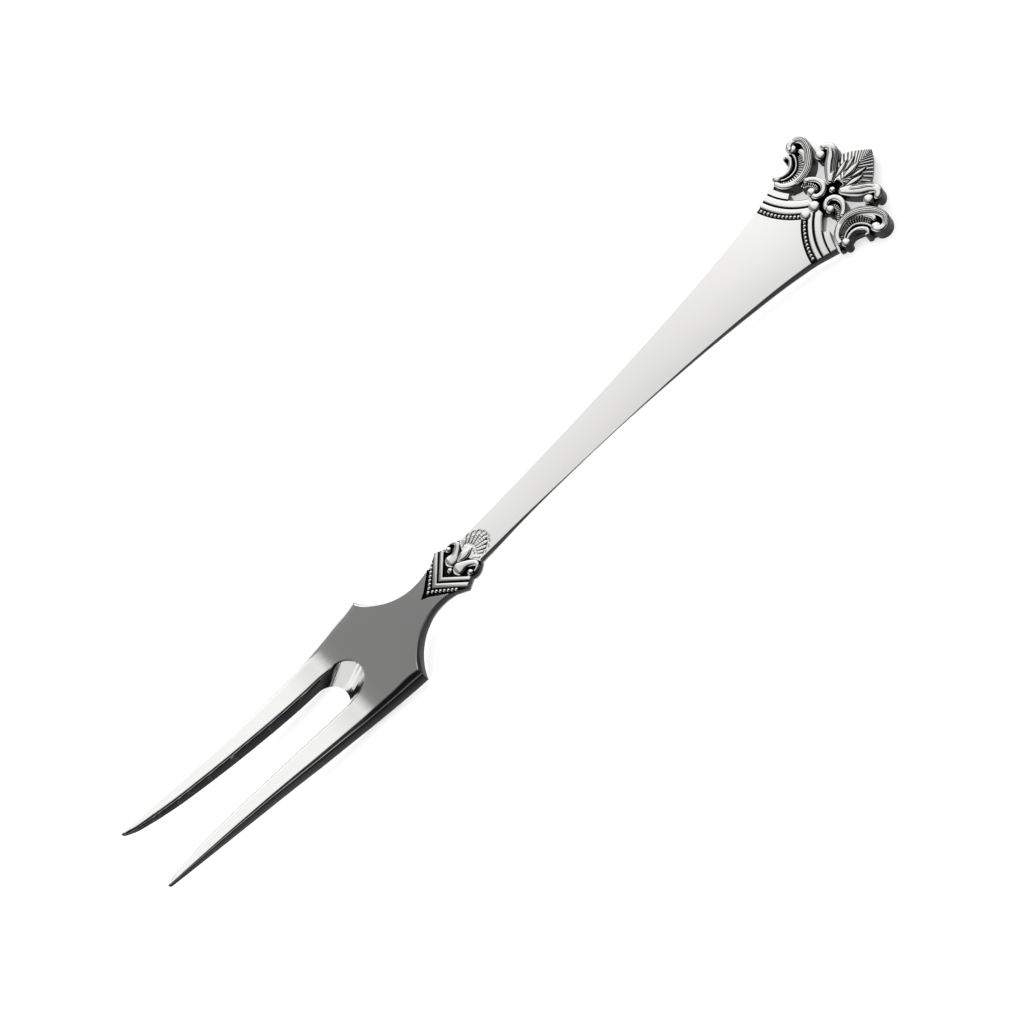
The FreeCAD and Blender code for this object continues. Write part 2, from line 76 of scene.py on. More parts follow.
# Petals of the neck's fan, one side: foot, tip and width
FAN = (
    ((70.9, 1.2), (71.9, 2.0), 0.6), ((71.1, 0.8), (72.8, 1.65), 0.72), ((71.3, 0.45), (73.5, 1.1), 0.78),
    ((71.4, 0.1), (74.0, 0.38), 0.74),
)

# Centre of the crown's left chevron arcs, and the radii of their carving
ARC_CENTRE = (153.65, 10.08)
ARC_CHANNEL = (12.68, 13.75)
ARC_BEADS = 13.2
ARC_GROOVE = (11.6, 11.86)
ARC_OUTER_GROOVE = (10.2, 10.45)
ARC_END = 9.2


class Side(Enum):
    """The two mirrored sides of the fork."""

    LEFT = 1
    RIGHT = -1


def smooth_step(value: float) -> float:
    """Soft step from 0 to 1.

    Args:
        value: Position, where 0 is the start of the step and 1 its end.

    Returns:
        The height of the step, from 0 to 1.
    """
    share = min(1.0, max(0.0, value))
    return share * share * (3 - 2 * share)


def distance_to_segment(point: Place, start: Place, end: Place) -> float:
    """Distance in the plan from a point to a straight line between two places.

    Args:
        point: Where the distance is asked for.
        start: One end of the line.
        end: The other end of the line.

    Returns:
        The shortest distance in millimetres.
    """
    run = (end[0] - start[0], end[1] - start[1])
    reach = (point[0] - start[0], point[1] - start[1])
    length = run[0] ** 2 + run[1] ** 2
    share = min(1.0, max(0.0, (reach[0] * run[0] + reach[1] * run[1]) / length))
    return math.hypot(reach[0] - share * run[0], reach[1] - share * run[1])


class Line:
    """Smooth line through stations, each with a key and one or more values."""

    def __init__(self, keys: Sequence[float], rows: Sequence[Sequence[float]]) -> None:
        """Keeps the stations and works out the slope at each.

        Args:
            keys: Rising positions of the stations.
            rows: Values at each station.
        """
        self.keys = list(keys)
        self.rows = [list(row) for row in rows]
        last = len(self.keys) - 1
        steps = [self.keys[i + 1] - self.keys[i] for i in range(last)]
        rates = [
            [(after - before) / steps[i] for before, after in zip(self.rows[i], self.rows[i + 1])]
            for i in range(last)
        ]
        self.slopes = [rates[0]]
        for i in range(1, last):
            total = steps[i - 1] + steps[i]
            self.slopes.append([
                (left * steps[i] + right * steps[i - 1]) / total
                for left, right in zip(rates[i - 1], rates[i])
            ])
        self.slopes.append(rates[-1])

    @classmethod
    def through(cls, rows: Sequence[Sequence[float]]) -> "Line":
        """Line through places in the plan, with a key from 0 to 1 along its length.

        Args:
            rows: Each place's x and y, and any further values there.

        Returns:
            The line.
        """
        keys = [0.0]
        for before, after in zip(rows, rows[1:]):
            keys.append(keys[-1] + math.hypot(after[0] - before[0], after[1] - before[1]))
        return cls([key / keys[-1] for key in keys], rows)

    def at(self, key: float) -> list[float]:
        """Values of the line.

        Args:
            key: Position along the line, kept within its ends.

        Returns:
            The values there.
        """
        key = min(self.keys[-1], max(self.keys[0], key))
        index = 0
        while index < len(self.keys) - 2 and key > self.keys[index + 1]:
            index += 1
        step = self.keys[index + 1] - self.keys[index]
        t = (key - self.keys[index]) / step
        hold, ease = (1 + 2 * t) * (1 - t) ** 2, t * (1 - t) ** 2 * step
        reach, brake = t * t * (3 - 2 * t), t * t * (t - 1) * step
        return [
            hold * a + ease * da + reach * b + brake * db
            for a, da, b, db in zip(
                self.rows[index], self.slopes[index], self.rows[index + 1], self.slopes[index + 1]
            )
        ]


def skin(rings: Rings, patina_and_painted_light: Callable[[int, int], float]) -> bmesh.types.BMesh:
    """Closed tube of skin wrapped over rings, with both ends capped.

    Args:
        rings: Rings of points, all of the same count.
        patina_and_painted_light: Darkness of a point, from its ring and its place in the ring.

    Returns:
        The skin as a bmesh that the caller frees.
    """
    bm = bmesh.new()
    along, around = len(rings) - 1, len(rings[0])
    layer = bm.verts.layers.float.new(PATINA_AND_PAINTED_LIGHT)
    bmesh.ops.create_grid(bm, x_segments=along, y_segments=around, size=1.0)
    for vert in bm.verts:
        ring = round((vert.co.x + 1) / 2 * along)
        spot = round((vert.co.y + 1) / 2 * around) % around
        vert.co = rings[ring][spot]
        vert[layer] = patina_and_painted_light(ring, spot)
    bmesh.ops.remove_doubles(bm, verts=bm.verts, dist=1e-5)
    bmesh.ops.holes_fill(bm, edges=[edge for edge in bm.edges if edge.is_boundary])
    bmesh.ops.recalc_face_normals(bm, faces=bm.faces)
    return bm


def slab(outline: Sequence[Place], low: float, high: float) -> bmesh.types.BMesh:
    """Flat slab over a closed outline.

    Args:
        outline: Places round the slab.
        low: Height of the underside.
        high: Height of the top.

    Returns:
        The slab as a bmesh that the caller frees.
    """
    bm = bmesh.new()
    face = bm.faces.new([bm.verts.new((x, y, low)) for x, y in outline])
    grown = bmesh.ops.extrude_face_region(bm, geom=[face])["geom"]
    lifted = [item for item in grown if isinstance(item, bmesh.types.BMVert)]
    bmesh.ops.translate(bm, verts=lifted, vec=(0, 0, high - low))
    bmesh.ops.recalc_face_normals(bm, faces=bm.faces)
    return bm


def dome(place: Place, radius: float, low: float, top: float, swell: float = 0.5) -> bmesh.types.BMesh:
    """Round boss with a domed end, turned about an upright axis.

    Args:
        place: Its axis in the plan.
        radius: Its radius.
        low: Height of its foot.
        top: Height of its crest.
        swell: Height of the dome, as a share of the radius.

    Returns:
        The boss as a bmesh that the caller frees.
    """
    bm = bmesh.new()
    x, y = place
    arc_steps = 7
    height = min(radius * swell, top - low - 0.05)
    outline = [(0.0, low), (radius, low)]
    for index in range(arc_steps):
        angle = math.pi / 2 * index / arc_steps
        outline.append((radius * math.cos(angle), top - height + height * math.sin(angle)))
    outline.append((0.0, top))
    verts = [bm.verts.new((x + out, y, z)) for out, z in outline]
    edges = [bm.edges.new(pair) for pair in zip(verts, verts[1:])]
    bmesh.ops.spin(
        bm, geom=verts + edges, cent=(x, y, 0), axis=(0, 0, 1), angle=2 * math.pi, steps=24,
        use_merge=True,
    )
    bmesh.ops.remove_doubles(bm, verts=bm.verts, dist=1e-4)
    bmesh.ops.recalc_face_normals(bm, faces=bm.faces)
    return bm


def carved(solid: bmesh.types.BMesh, cutters: Iterable[bmesh.types.BMesh]) -> bmesh.types.BMesh:
    """Cuts shapes out of a solid.

    Args:
        solid: What is cut. It is freed.
        cutters: What comes off. They are freed.

    Returns:
        What is left, as a bmesh that the caller frees.
    """
    blank = loose_object("blank", solid)
    tools = [loose_object("cutter", cutter) for cutter in cutters]
    for tool in tools:
        cut = blank.modifiers.new("cut", "BOOLEAN")
        cut.operation = "DIFFERENCE"
        cut.solver = "EXACT"
        cut.object = tool
    bpy.context.view_layer.update()
    mesh = bpy.data.meshes.new_from_object(
        blank.evaluated_get(bpy.context.evaluated_depsgraph_get())
    )
    result = bmesh.new()
    result.from_mesh(mesh)
    for spent in [blank, *tools]:
        old = spent.data
        bpy.data.objects.remove(spent)
        bpy.data.meshes.remove(old)
    bpy.data.meshes.remove(mesh)
    return result


def loose_object(name: str, bm: bmesh.types.BMesh) -> bpy.types.Object:
    """Object for a bmesh, which is freed.

    Args:
        name: Name of the object.
        bm: Its mesh.

    Returns:
        The object, linked into the scene.
    """
    mesh = bpy.data.meshes.new(name)
    bm.to_mesh(mesh)
    bm.free()
    made = bpy.data.objects.new(name, mesh)
    bpy.context.scene.collection.objects.link(made)
    return made


@dataclass
class Piece:
    """One visible piece of the fork, gathered from closed shapes."""

    name: str
    finish: bpy.types.Material
    crease: float = 32.0
    gathered: bmesh.types.BMesh = field(default_factory=bmesh.new)

    def add(self, shape: bmesh.types.BMesh) -> None:
        """Adds a closed shape.

        Args:
            shape: The shape, in millimetres. It is freed.
        """
        mesh = bpy.data.meshes.new("shape")
        shape.to_mesh(mesh)
        shape.free()
        self.gathered.from_mesh(mesh)
        bpy.data.meshes.remove(mesh)

    def darken(self, patina_and_painted_light: Callable[[Vector], float]) -> None:
        """Sets how dark each point is.

        Args:
            patina_and_painted_light: Darkness from 0 to 1 at a point in millimetres.
        """
        layers = self.gathered.verts.layers.float
        layer = layers.get(PATINA_AND_PAINTED_LIGHT) or layers.new(PATINA_AND_PAINTED_LIGHT)
        for vert in self.gathered.verts:
            vert[layer] = patina_and_painted_light(vert.co)

    def finished(self) -> bpy.types.Object:
        """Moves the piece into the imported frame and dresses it.

        Returns:
            The piece as an object that rides on the fork's body.
        """
        into_frame = Matrix.Translation((FRONT_BOX[0].x, 0, FRONT_BOX[0].z)) @ Matrix.Scale(UNIT, 4)
        bmesh.ops.transform(self.gathered, matrix=into_frame, verts=self.gathered.verts)
        made = loose_object(self.name, self.gathered)
        made.data.shade_smooth()
        made.data.set_sharp_from_angle(angle=math.radians(self.crease))
        made.data.materials.append(self.finish)
        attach(made, BODY)
        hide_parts(NODE)
        LOG.info("%s: %d faces", self.name, len(made.data.polygons))
        return made


@dataclass
class Graph:
    """Node tree of a material or the world, with short ways to add to it."""

    tree: bpy.types.NodeTree

    def feed(self, target: bpy.types.NodeSocket, value: Feed) -> None:
        """Links a socket to an input, or sets the input to a value.

        Args:
            target: The input.
            value: The socket or the value.
        """
        if isinstance(value, bpy.types.NodeSocket):
            self.tree.links.new(value, target)
        else:
            target.default_value = value

    def add(
        self, kind: str, inputs: dict[str | int, Feed] | None = None, **settings: str | bool,
    ) -> bpy.types.Node:
        """Adds a node.

        Args:
            kind: Its type, without the word that every type begins with.
            inputs: What its inputs get, by their name or number.
            settings: Its own properties.

        Returns:
            The node.
        """
        node = self.tree.nodes.new("ShaderNode" + kind)
        for name, setting in settings.items():
            setattr(node, name, setting)
        for key, value in (inputs or {}).items():
            self.feed(node.inputs[key], value)
        return node

    def calc(self, operation: str, *values: Feed, clamp: bool = False) -> bpy.types.NodeSocket:
        """Adds a sum.

        Args:
            operation: Name of the sum.
            values: What goes into it.
            clamp: Whether its result is kept from 0 to 1.

        Returns:
            The socket with the result.
        """
        node = self.add("Math", dict(enumerate(values)), operation=operation, use_clamp=clamp)
        return node.outputs["Value"]

    def ramp(
        self, share: bpy.types.NodeSocket, stops: Sequence[tuple[float, float | tuple[float, ...]]],
    ) -> bpy.types.NodeSocket:
        """Adds a ramp of colours.

        Args:
            share: Socket with the position on the ramp.
            stops: Position of each stop, and its grey level or colour.

        Returns:
            The socket with the colour.
        """
        node = self.add("ValToRGB", {"Fac": share})
        bands = node.color_ramp.elements
        for index, (position, tone) in enumerate(stops):
            band = bands[index] if index < 2 else bands.new(position)
            band.position = position
            band.color = (*tone, 1) if isinstance(tone, tuple) else (tone, tone, tone, 1)
        return node.outputs["Color"]


@dataclass(frozen=True)
class Silver:
    """Silver with patina in its recesses, painted shade on its upright sides, small scratches and pits."""

    name: str
    roughness: float
    scratch: float

    def material(self) -> bpy.types.Material:
        """Builds the finish.

        Returns:
            The material, which reads the attribute of patina and painted light, and Object coordinates.
        """
        made = bpy.data.materials.new(self.name)
        made.use_nodes = True
        graph = Graph(made.node_tree)
        place = graph.add("TexCoord")
        spot = place.outputs["Object"]
        patina_and_painted_light = graph.add("Attribute", attribute_name=PATINA_AND_PAINTED_LIGHT)

        cloud = graph.add("TexNoise", {"Vector": spot, "Scale": 260.0, "Detail": 4.0})
        spread = graph.calc("MULTIPLY_ADD", cloud.outputs["Fac"], 0.5, -0.25)
        slope = graph.add("SeparateXYZ", {"Vector": place.outputs["Normal"]})
        level = graph.calc("ABSOLUTE", slope.outputs["Z"])
        # Painted shade: faces that stand near upright are darkened towards black, in place of the dark
        # surround that polished sides mirror
        upright = graph.add(
            "MapRange", {"Value": level, "From Min": 0.8, "From Max": 0.6}, interpolation_type="SMOOTHSTEP"
        )
        # Patina and painted light from the attribute, plus the painted shade on upright faces
        patina_and_wall_shade = graph.calc("ADD", patina_and_painted_light.outputs["Fac"], upright.outputs["Result"], clamp=True)
        uneven = graph.calc("ADD", patina_and_wall_shade, spread)
        # Pale silver on plain tops, then grey and near black as patina and painted shade add up
        tint = graph.ramp(uneven, (
            (0.3, (0.93, 0.925, 0.915)), (0.55, (0.38, 0.375, 0.37)), (0.85, (0.018, 0.018, 0.02)),
        ))
        haze = graph.add("MapRange", {
            "Value": uneven, "From Min": 0.2, "From Max": 0.9, "To Min": self.roughness, "To Max": 0.42,
        })

        drawn_out = graph.add("Mapping", {"Vector": spot, "Scale": (500.0, 2600.0, 2600.0)})
        scratches = graph.add(
            "TexNoise", {"Vector": drawn_out.outputs["Vector"], "Scale": 1.0, "Detail": 3.0}
        )
        bump = graph.add("Bump", {
            "Height": scratches.outputs["Fac"], "Strength": self.scratch, "Distance": 0.00002,
        })

        shader = made.node_tree.nodes["Principled BSDF"]
        graph.feed(shader.inputs["Metallic"], 1.0)
        graph.feed(shader.inputs["Base Color"], tint)
        graph.feed(shader.inputs["Roughness"], haze.outputs["Result"])
        graph.feed(shader.inputs["Normal"], bump.outputs["Normal"])
        return made


@dataclass
class ForkBody:
    """Tines, shoulders, neck and handle, up to the chevrons before the pierced crown."""

    tine_length: float = 45.3
    heel: float = 40.8
    shoulder: float = 51.5
    neck: float = 61.0
    handle: float = 70.7
    crown: float = 144.0
    tip_rise: float = 6.9
    tip_thickness: float = 0.9
    heel_thickness: float = 2.75
    shoulder_half: float = 9.4
    neck_half: float = 2.7
    slot_half: float = 3.35
    slot_ramp: float = 4.6
    slot_round: float = 0.5
    carving_depth: float = 0.45
    groove_depth: float = 0.3
    wall: float = 0.08
    slot_edge_end: float = 46.5
    neck_carving: tuple[float, float] = (58.5, 75.0)
    arcs_start: float = 138.5

    def __post_init__(self) -> None:
        """Draws the outline and the side profile."""
        self.tine_half = Line(
            (-1, 8.5, 13, 17.3, 21.7, 26, 30.5, 35, 39.4, 43.8, 48.2, self.shoulder),
            [(half,) for half in (
                6.5, 6.55, 6.6, 6.7, 6.83, 7.05, 7.35, 7.65, 8.05, 8.55, 9.05, self.shoulder_half)],
        )
        self.lobe_half = Line(
            (67.7, 68.3, 68.9, 69.6, 70.2, self.handle),
            [(3.45,), (3.6,), (3.6,), (3.35,), (2.95,), (2.5,)],
        )
        self.handle_half = Line(
            (self.handle, 80, 90, 99, 108.7, 118, 127.6, 137, 141, self.crown, 147.2),
            [(half,) for half in (2.5, 2.5, 2.76, 3.09, 3.6, 4.25, 5.18, 6.37, 7.12, 8.03, 8.9)],
        )
        rows: list[tuple[float, float, float]] = []
        for share in (-0.03, 0.08, 0.2, 0.35, 0.5, 0.65, 0.8, 0.9, 1.0):
            left = 1 - share
            low = self.tip_rise * left ** 1.5
            swell = self.heel_thickness - (self.heel_thickness - self.tip_thickness) * left ** 3
            rows.append((share * self.heel, low, low + swell))
        rows += [
            (42.0, 0.0, 2.74), (44.3, 0.0, 2.78), (46.4, 0.04, 2.86), (self.shoulder, 0.3, 3.11),
            (59.0, 1.5, 3.55), (62.0, 1.75, 3.68), (75.7, 1.8, 3.7), (94.9, 1.6, 3.5),
            (114.7, 1.15, 3.35), (133.0, 0.7, 3.05), (self.crown, 0.2, 2.78), (149.0, 0.0, 2.68),
        ]
        self.profile = Line([row[0] for row in rows], [row[1:] for row in rows])
        self.top_round = Line(
            (0, 12, 25, 38, 46, self.shoulder, 53, 56, 60, LENGTH),
            [(0.2,), (0.4,), (0.65,), (1.0,), (1.3,), (1.25,), (0.6,), (0.3,), (0.2,), (0.2,)],
        )
        self.back_ease = Line(
            (0, self.shoulder, self.neck, self.handle, 74, LENGTH),
            [(0.3,), (0.3,), (0.2,), (0.2,), (0.5,), (0.5,)],
        )
        self.slot_side = Line(
            (-2.0, 0.0, 0.25, 0.7, 1.9, 4.0, 8.5, 15.0, 24.0, 33.0, 36.0),
            [(half,) for half in (6.6, 6.3, 6.12, 5.9, 5.42, 5.0, 4.4, 3.96, 3.6, 3.37, self.slot_half)],
        )

    def half_width(self, x: float) -> float:
        """Half width of the outline.

        Args:
            x: Place along the fork, from the tips.

        Returns:
            The half width there.
        """
        flare, peak, peak_half = 64.2, 66.1, 4.35
        if x <= self.shoulder:
            short = 1 - min(1.0, x / 0.6)
            return self.tine_half.at(x)[0] - 0.2 * (1 - math.sqrt(1 - short * short))
        run = self.neck - self.shoulder
        rise = self.shoulder_half - self.neck_half
        radius = (run * run + rise * rise) / (2 * rise)
        if x <= flare:
            return self.neck_half + radius - math.sqrt(radius ** 2 - (x - self.neck) ** 2)
        if x <= peak:
            start = self.neck_half + radius - math.sqrt(radius ** 2 - 3.2 ** 2)
            return start + (peak_half - start) * (x - flare) / 1.9
        if x <= 67.7:
            return peak_half - 0.9 * (x - peak) / 1.6
        if x <= self.handle:
            return self.lobe_half.at(x)[0]
        return self.handle_half.at(x)[0]

    def top(self, x: float, y: float) -> float:
        """Height of the plain top, which is very slightly bowed across the shoulders and handle."""
        bow = 0.0012 * smooth_step((x - 45) / 14) + 0.0026 * smooth_step((x - 66) / 12)
        return self.profile.at(x)[1] - bow * y * y

    def bend(self, key: float, y: float) -> float:
        """Place along the fork of a ring's point, where the rings follow the carved chevrons.

        Args:
            key: Place of the ring on the middle plane of the neck, or on the crown's sides.
            y: Side distance of the point.

        Returns:
            The point's x.
        """
        off = abs(y)
        if key < 90:
            lean = smooth_step((key - 55) / 4) * (1 - smooth_step((key - 64.6) / 13))
            return key + NECK_SLANT * lean * off
        if key > 150:
            return key
        arc_x, arc_y = ARC_CENTRE
        key_side = 2.78
        radius = math.hypot(arc_x - key, key_side)
        arc = arc_x - math.sqrt(max(0.0, radius ** 2 - (arc_y - off) ** 2))
        return key + smooth_step((key - 124) / 15) * (arc - key)

    def trench(self, inside: float, depth: float) -> float:
        """Depth of a cut with steep walls, for a distance inside its edge."""
        return depth * smooth_step(inside / self.wall + 0.5)

    def pillow(self, inside: float, width: float) -> float:
        """Fall of a band's rounded top, for a distance inside its edge."""
        off = min(1.0, abs(2 * inside / width - 1))
        return 0.035 * off ** 4

    def slot_relief(self, x: float, y: float) -> float:
        """Rounding along the slot's upper edge.

        Args:
            x: Place along the fork, from the tips.
            y: Side distance.

        Returns:
            Its depth there.
        """
        centre = self.tine_length - self.slot_half
        off = math.hypot(max(0.0, x - centre), y) - self.slot_half
        if x < centre:
            off = abs(y) - self.slot_side.at(x)[0]
        radius = min(self.slot_round, 0.3 * (self.half_width(x) - self.slot_side.at(x)[0]))
        radius *= 1 - 0.8 * smooth_step((x - 39) / 3)
        if off >= radius:
            return 0.0
        return radius - math.sqrt(radius ** 2 - (radius - max(0.0, off)) ** 2)

    def neck_relief(self, x: float, y: float) -> float:
        """Carving of the neck: bead channel, two bands and the field behind them.

        Args:
            x: Place along the fork, from the tips.
            y: Side distance.

        Returns:
            Its depth there.
        """
        u, v = x - self.neck, abs(y)
        phase = u - NECK_SLANT * v
        across = 0.72
        point_half = 0.6
        if v < point_half:
            lower = -1.5 + 1.1 * v / point_half
        else:
            lower = -0.4 + 4.0 * (v - point_half) / 3.25
        start, end = NECK_GROOVE
        cuts = [
            self.trench(min(u - lower, NECK_CHANNEL_END - phase) * across, self.carving_depth),
            self.trench(min(phase - start, end - phase) * across, self.groove_depth),
            self.trench(min((phase - NECK_FIELD) * across, 8.0 + 0.5 * v - u), self.carving_depth),
            self.fan_relief(x, v),
        ]
        for near, far in ((NECK_CHANNEL_END, start), (end, NECK_FIELD)):
            if near < phase < far:
                cuts.append(self.pillow(phase - near, far - near))
        return max(cuts)

    def fan_relief(self, x: float, v: float) -> float:
        """Shallow ground round the fan of petals that runs out on to the handle.

        Args:
            x: Place along the fork, from the tips.
            v: Distance from the middle plane.

        Returns:
            Its depth there.
        """
        if not 69.4 < x < self.neck_carving[1]:
            return 0.0
        return max(
            0.11 * smooth_step((width / 2 + 0.06 - distance_to_segment((x, v), start, end)) / 0.12)
            for start, end, width in FAN
        )

    def chevron_relief(self, x: float, y: float) -> float:
        """Carving of the arcs at the handle's end: bead channel, bands and grooves.

        Args:
            x: Place along the fork, from the tips.
            y: Side distance.

        Returns:
            Its depth there.
        """
        radius = math.hypot(x - ARC_CENTRE[0], abs(y) - ARC_CENTRE[1])
        outer = smooth_step((abs(y) - 4.0) / 0.5)
        cuts = [
            share * self.trench(min(far - radius, radius - near), depth)
            for (near, far), depth, share in (
                (ARC_CHANNEL, self.carving_depth, 1.0), (ARC_GROOVE, self.groove_depth, 1.0),
                (ARC_OUTER_GROOVE, self.groove_depth, outer),
            )
        ]
        for near, far in ((ARC_GROOVE[1], ARC_CHANNEL[0]), (10.4, ARC_GROOVE[0])):
            if near < radius < far:
                cuts.append(self.pillow(radius - near, far - near))
        return max(cuts)

    def relief(self, x: float, y: float) -> float:
        """All carving below the plain top.

        Args:
            x: Place along the fork, from the tips.
            y: Side distance.

        Returns:
            Its depth there.
        """
        start, end = self.neck_carving
        if x < self.slot_edge_end:
            return self.slot_relief(x, y)
        if start < x < end:
            return self.neck_relief(x, y)
        if x > self.arcs_start:
            return self.chevron_relief(x, y)
        return 0.0

    def section(self, key: float) -> list[Vector]:
        """Ring of points round the body.

        Args:
            key: Place of the ring.

        Returns:
            The points, from the top's right edge over the top and back underneath.
        """
        top_steps, edge_steps, back_steps = 104, 6, 14
        end = key
        for _ in range(12):
            end = self.bend(key, self.half_width(end))
        half = self.half_width(end)
        low = max(0.0, self.profile.at(end)[0])
        edge = self.top_round.at(end)[0]
        ease = self.back_ease.at(end)[0]
        run = half - edge
        points = []
        for index in range(top_steps + 1):
            y = -run + 2 * run * index / top_steps
            x = self.bend(key, y)
            points.append(Vector((x, y, self.top(x, y) - self.relief(x, y))))
        turn = []
        for index in range(1, edge_steps + 1):
            angle = math.pi / 2 * (1 - index / edge_steps)
            y = run + edge * math.cos(angle)
            x = self.bend(key, y)
            high = self.top(x, run)
            turn.append((y, min(high - edge + edge * math.sin(angle), high - self.relief(x, y))))
        turn += [
            (half, low + ease + 0.5 * (turn[-1][1] - low - ease)), (half, low + ease),
            (half - 0.3 * ease, low + 0.3 * ease), (half - ease, low),
        ]
        points += [Vector((self.bend(key, y), y, z)) for y, z in turn]
        for index in range(1, back_steps):
            y = (half - ease) * (1 - 2 * index / back_steps)
            x = self.bend(key, y)
            points.append(Vector((x, y, max(0.0, self.profile.at(x)[0]))))
        points += [Vector((self.bend(key, y), -y, z)) for y, z in reversed(turn)]
        return points

    def stations(self) -> list[float]:
        """Spreads the rings along the body, close together where the carving is.

        Returns:
            Their places, from the tips.
        """
        spans = (
            (0.0, 0.6, 0.1), (0.6, 4.6, 0.4), (4.6, 38.2, 0.8), (38.2, 46.6, 0.2), (46.6, 51.0, 0.55),
            (51.0, 54.6, 0.12), (54.6, 58.6, 0.25), (58.6, 64.9, 0.06), (64.9, 74.9, 0.1),
            (74.9, 139.0, 1.1), (139.0, 145.2, 0.05), (145.2, 147.0, 0.6),
        )
        places = []
        for start, end, step in spans:
            count = round((end - start) / step)
            places += [start + (end - start) * index / count for index in range(count)]
        return places + [156.0]

    def slot_tool(self) -> bmesh.types.BMesh:
        """What comes out between the tines, with a root that slopes down towards the tips.

        Returns:
            The shape as a bmesh that the caller frees.
        """
        places = (-2, 0, 0.1, 0.25, 0.5, 0.8, 1.2, 1.8, 2.5, 3.3, 4, 6, 8, 10, 13, 16, 20, 24, 28, 32)
        straight = [(x, self.slot_side.at(x)[0]) for x in places]
        centre = self.tine_length - self.slot_half
        turns = 28
        bm = bmesh.new()
        rings = []
        for height in (-2.0, 12.0):
            shift = self.slot_ramp * (height / self.heel_thickness - 1)
            root = [
                (centre + shift + self.slot_half * math.sin(math.pi * index / turns),
                 self.slot_half * math.cos(math.pi * index / turns))
                for index in range(turns + 1)
            ]
            outline = straight + root + [(x, -y) for x, y in reversed(straight)]
            if height > 0:
                outline = [(min(x, 70.0), y) for x, y in outline]
            rings.append([bm.verts.new((x, y, height)) for x, y in outline])
        edges = []
        for ring in rings:
            edges += [bm.edges.new(pair) for pair in zip(ring, ring[1:] + ring[:1])]
        bmesh.ops.bridge_loops(bm, edges=edges)
        bmesh.ops.holes_fill(bm, edges=[edge for edge in bm.edges if edge.is_boundary])
        bmesh.ops.recalc_face_normals(bm, faces=bm.faces)
        return bm

    def on_arc(self, radius: float, y: float) -> Place:
        """Point at a side distance on one of the crown's arcs."""
        return (ARC_CENTRE[0] - math.sqrt(radius ** 2 - (ARC_CENTRE[1] - y) ** 2), y)

    def end_tool(self) -> bmesh.types.BMesh:
        """What comes off the handle's end, where the pierced work begins.

        Returns:
            The shape as a bmesh that the caller frees.
        """
        steps = 12
        half = [(170.0, 30.0), (self.on_arc(ARC_END, 8.3)[0], 30.0)]
        half += [self.on_arc(ARC_END, 8.3 - 3.35 * index / steps) for index in range(steps + 1)]
        half += [self.on_arc(10.35, 4.3 - 2.4 * index / steps) for index in range(steps + 1)]
        return slab(half + [(x, -y) for x, y in reversed(half)], -3.0, 12.0)

    def darkness(self, point: Vector) -> float:
        """Darkness of the body's finish: patina from the depth of the carving, and a painted reflection that
        makes the lower part of the sides paler from the neck on.

        Args:
            point: Place on the body.

        Returns:
            The darkness there, below 0 where the painted reflection makes it paler than plain silver.
        """
        depth = 0.0 if point.x < self.slot_edge_end else self.relief(point.x, point.y)
        low, high = self.profile.at(point.x)
        if point.z > high - depth - 0.4:
            return min(1.0, max(0.0, depth - 0.06) / 0.2)
        share = (point.z - low) / (high - low)
        # Painted reflection: the lower part of the sides is made paler than plain silver, from the neck
        # towards the crown
        return -0.5 * (1 - smooth_step((share - 0.1) / 0.3)) * smooth_step((point.x - 55) / 6)

    def build(self, finish: bpy.types.Material) -> bpy.types.Object:
        """Models the body as one piece.

        Args:
            finish: Its silver.

        Returns:
            The piece.
        """
        rings = [self.section(x) for x in self.stations()]
        body = carved(skin(rings, lambda ring, spot: 0.0), [self.slot_tool(), self.end_tool()])
        piece = Piece("tines_and_handle", finish)
        piece.add(body)
        piece.darken(self.darkness)
        return piece.finished()


